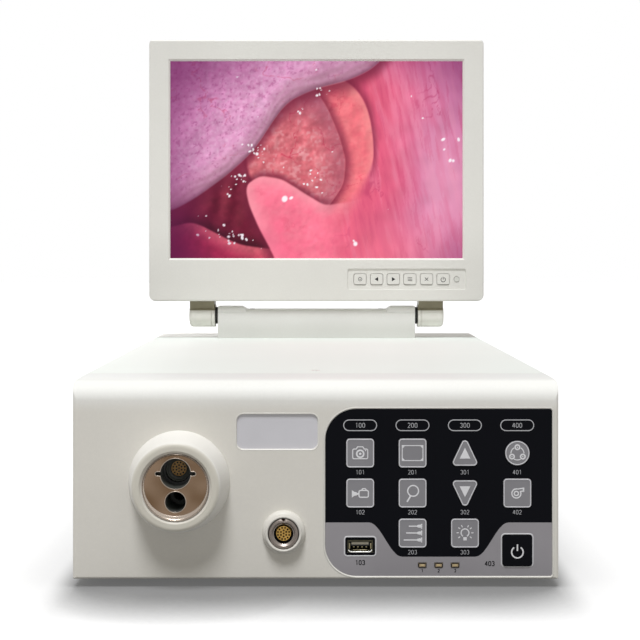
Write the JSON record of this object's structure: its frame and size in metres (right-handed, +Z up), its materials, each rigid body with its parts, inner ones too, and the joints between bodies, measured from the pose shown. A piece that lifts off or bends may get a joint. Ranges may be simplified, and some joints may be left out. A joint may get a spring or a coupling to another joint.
{
  "type": "endoscopy camera system",
  "caption": "Desktop endoscopy camera console: case with scope and camera sockets, keypad, built-in lamp and air pump, and a tilting flat monitor on a rear hinge.",
  "frame": {"origin": "centre of the overall box in the surface that the feet stand on", "axes": "+Z up, -Y towards the user at the keypad, +X to the user's right"},
  "size_m": [0.283, 0.375, 0.3728],
  "materials": {
    "case_paint": "warm white powder coat, fine texture",
    "bezel_plastic": "warm white moulded plastic, satin",
    "neck_plastic": "off-white moulded plastic, satin",
    "frame_plastic": "off-white moulded plastic, satin",
    "sheet_metal": "light grey powder coat",
    "rubber": "matt black rubber",
    "screw_steel": "plated steel",
    "socket_steel": "turned steel, bright",
    "connector_nickel": "nickel plated",
    "contact_gold": "gold plated contacts",
    "black_plastic": "black moulded plastic",
    "plate_film": "pale lavender grey film, bare",
    "keypad_black": "black printed film",
    "keypad_grey": "grey printed film",
    "key_grey": "grey key caps with white symbols",
    "board_green": "green circuit board",
    "led_amber": "pale amber lens",
    "led_clear": "clear lens",
    "supply_metal": "bare sheet aluminium",
    "dark_metal": "dark anodised housing",
    "hose": "clear silicone hose",
    "monitor_plastic": "warm white moulded plastic",
    "screen": null
  },
  "bodies": {
    "base_unit": {"base_tray": "sheet_metal", "top_cover": "case_paint", "front_bezel": "bezel_plastic", "rear_frame": "frame_plastic", "rear_panel": "sheet_metal", "feet": "rubber", "case_screws": "screw_steel", "scope_collar": "bezel_plastic", "scope_socket_block": "socket_steel", "scope_plug_sleeve": "black_plastic", "scope_pin_insert": "contact_gold", "light_guide_tube": "socket_steel", "camera_collar": "bezel_plastic", "camera_socket_shell": "socket_steel", "camera_socket_insert": "contact_gold", "name_plate": "plate_film", "keypad_film": "keypad_black", "keypad_band": "keypad_grey", "keypad_board": "board_green", "usb_shell": "socket_steel", "usb_tongue": "black_plastic", "status_leds": "led_amber", "main_board": "board_green", "power_supply": "supply_metal", "lamp_module": "dark_metal", "air_pump": "dark_metal", "air_hose": "hose", "fan_frame": "black_plastic", "fan_guard": "screw_steel", "mains_inlet": "black_plastic", "rear_jacks": "connector_nickel", "hinge_neck": "neck_plastic", "hinge_pins": "screw_steel", "hinge_washers": "black_plastic"},
    "monitor": {"monitor_front": "monitor_plastic", "monitor_back": "monitor_plastic", "lcd_panel": "screen", "monitor_board": "board_green", "monitor_led": "led_clear", "hinge_knuckles": "neck_plastic"},
    "fan": {"fan_rotor": "black_plastic"},
    "switch": {"mains_switch": "black_plastic"},
    "drawer": {"fuse_drawer": "black_plastic"},
    "key_photo": {"key_photo": "key_grey"},
    "key_video": {"key_video": "key_grey"},
    "key_full_screen": {"key_full_screen": "key_grey"},
    "key_zoom": {"key_zoom": "key_grey"},
    "key_endoscope": {"key_endoscope": "key_grey"},
    "key_bright": {"key_bright": "key_grey"},
    "key_dark": {"key_dark": "key_grey"},
    "key_lamp": {"key_lamp": "key_grey"},
    "key_air_flow": {"key_air_flow": "key_grey"},
    "key_pump": {"key_pump": "key_grey"},
    "key_power": {"key_power": "keypad_black"},
    "monitor_button_1": {"monitor_button_1": "monitor_plastic"},
    "monitor_button_2": {"monitor_button_2": "monitor_plastic"},
    "monitor_button_3": {"monitor_button_3": "monitor_plastic"},
    "monitor_button_4": {"monitor_button_4": "monitor_plastic"},
    "monitor_button_5": {"monitor_button_5": "monitor_plastic"},
    "monitor_button_6": {"monitor_button_6": "monitor_plastic"}
  },
  "joints": [
    {"name": "monitor_tilt", "type": "hinge", "parent": "base_unit", "child": "monitor", "pos_m": [0, 0.1325, 0.1389], "axis": [1, 0, 0], "range_deg": [-35, 90]},
    {"name": "fan_spin", "type": "hinge", "parent": "base_unit", "child": "fan", "pos_m": [0.078, 0.16, 0.0625], "axis": [0, 1, 0], "continuous": true},
    {"name": "switch_rock", "type": "hinge", "parent": "base_unit", "child": "switch", "pos_m": [-0.092, 0.176, 0.0706], "axis": [1, 0, 0], "range_deg": [0, 16]},
    {"name": "drawer_slide", "type": "slide", "parent": "base_unit", "child": "drawer", "axis": [0, 1, 0], "range_m": [0, 0.02]},
    {"name": "key_photo_press", "type": "slide", "parent": "base_unit", "child": "key_photo", "axis": [0, 1, 0], "range_m": [0, 0.0005], "stiffness_N_per_m": 2500},
    {"name": "key_video_press", "type": "slide", "parent": "base_unit", "child": "key_video", "axis": [0, 1, 0], "range_m": [0, 0.0005], "stiffness_N_per_m": 2500},
    {"name": "key_full_screen_press", "type": "slide", "parent": "base_unit", "child": "key_full_screen", "axis": [0, 1, 0], "range_m": [0, 0.0005], "stiffness_N_per_m": 2500},
    {"name": "key_zoom_press", "type": "slide", "parent": "base_unit", "child": "key_zoom", "axis": [0, 1, 0], "range_m": [0, 0.0005], "stiffness_N_per_m": 2500},
    {"name": "key_endoscope_press", "type": "slide", "parent": "base_unit", "child": "key_endoscope", "axis": [0, 1, 0], "range_m": [0, 0.0005], "stiffness_N_per_m": 2500},
    {"name": "key_bright_press", "type": "slide", "parent": "base_unit", "child": "key_bright", "axis": [0, 1, 0], "range_m": [0, 0.0005], "stiffness_N_per_m": 2500},
    {"name": "key_dark_press", "type": "slide", "parent": "base_unit", "child": "key_dark", "axis": [0, 1, 0], "range_m": [0, 0.0005], "stiffness_N_per_m": 2500},
    {"name": "key_lamp_press", "type": "slide", "parent": "base_unit", "child": "key_lamp", "axis": [0, 1, 0], "range_m": [0, 0.0005], "stiffness_N_per_m": 2500},
    {"name": "key_air_flow_press", "type": "slide", "parent": "base_unit", "child": "key_air_flow", "axis": [0, 1, 0], "range_m": [0, 0.0005], "stiffness_N_per_m": 2500},
    {"name": "key_pump_press", "type": "slide", "parent": "base_unit", "child": "key_pump", "axis": [0, 1, 0], "range_m": [0, 0.0005], "stiffness_N_per_m": 2500},
    {"name": "key_power_press", "type": "slide", "parent": "base_unit", "child": "key_power", "axis": [0, 1, 0], "range_m": [0, 0.0005], "stiffness_N_per_m": 2500},
    {"name": "monitor_button_1_press", "type": "slide", "parent": "monitor", "child": "monitor_button_1", "axis": [0, 1, 0], "range_m": [0, 0.0005], "stiffness_N_per_m": 2500},
    {"name": "monitor_button_2_press", "type": "slide", "parent": "monitor", "child": "monitor_button_2", "axis": [0, 1, 0], "range_m": [0, 0.0005], "stiffness_N_per_m": 2500},
    {"name": "monitor_button_3_press", "type": "slide", "parent": "monitor", "child": "monitor_button_3", "axis": [0, 1, 0], "range_m": [0, 0.0005], "stiffness_N_per_m": 2500},
    {"name": "monitor_button_4_press", "type": "slide", "parent": "monitor", "child": "monitor_button_4", "axis": [0, 1, 0], "range_m": [0, 0.0005], "stiffness_N_per_m": 2500},
    {"name": "monitor_button_5_press", "type": "slide", "parent": "monitor", "child": "monitor_button_5", "axis": [0, 1, 0], "range_m": [0, 0.0005], "stiffness_N_per_m": 2500},
    {"name": "monitor_button_6_press", "type": "slide", "parent": "monitor", "child": "monitor_button_6", "axis": [0, 1, 0], "range_m": [0, 0.0005], "stiffness_N_per_m": 2500}
  ]
}
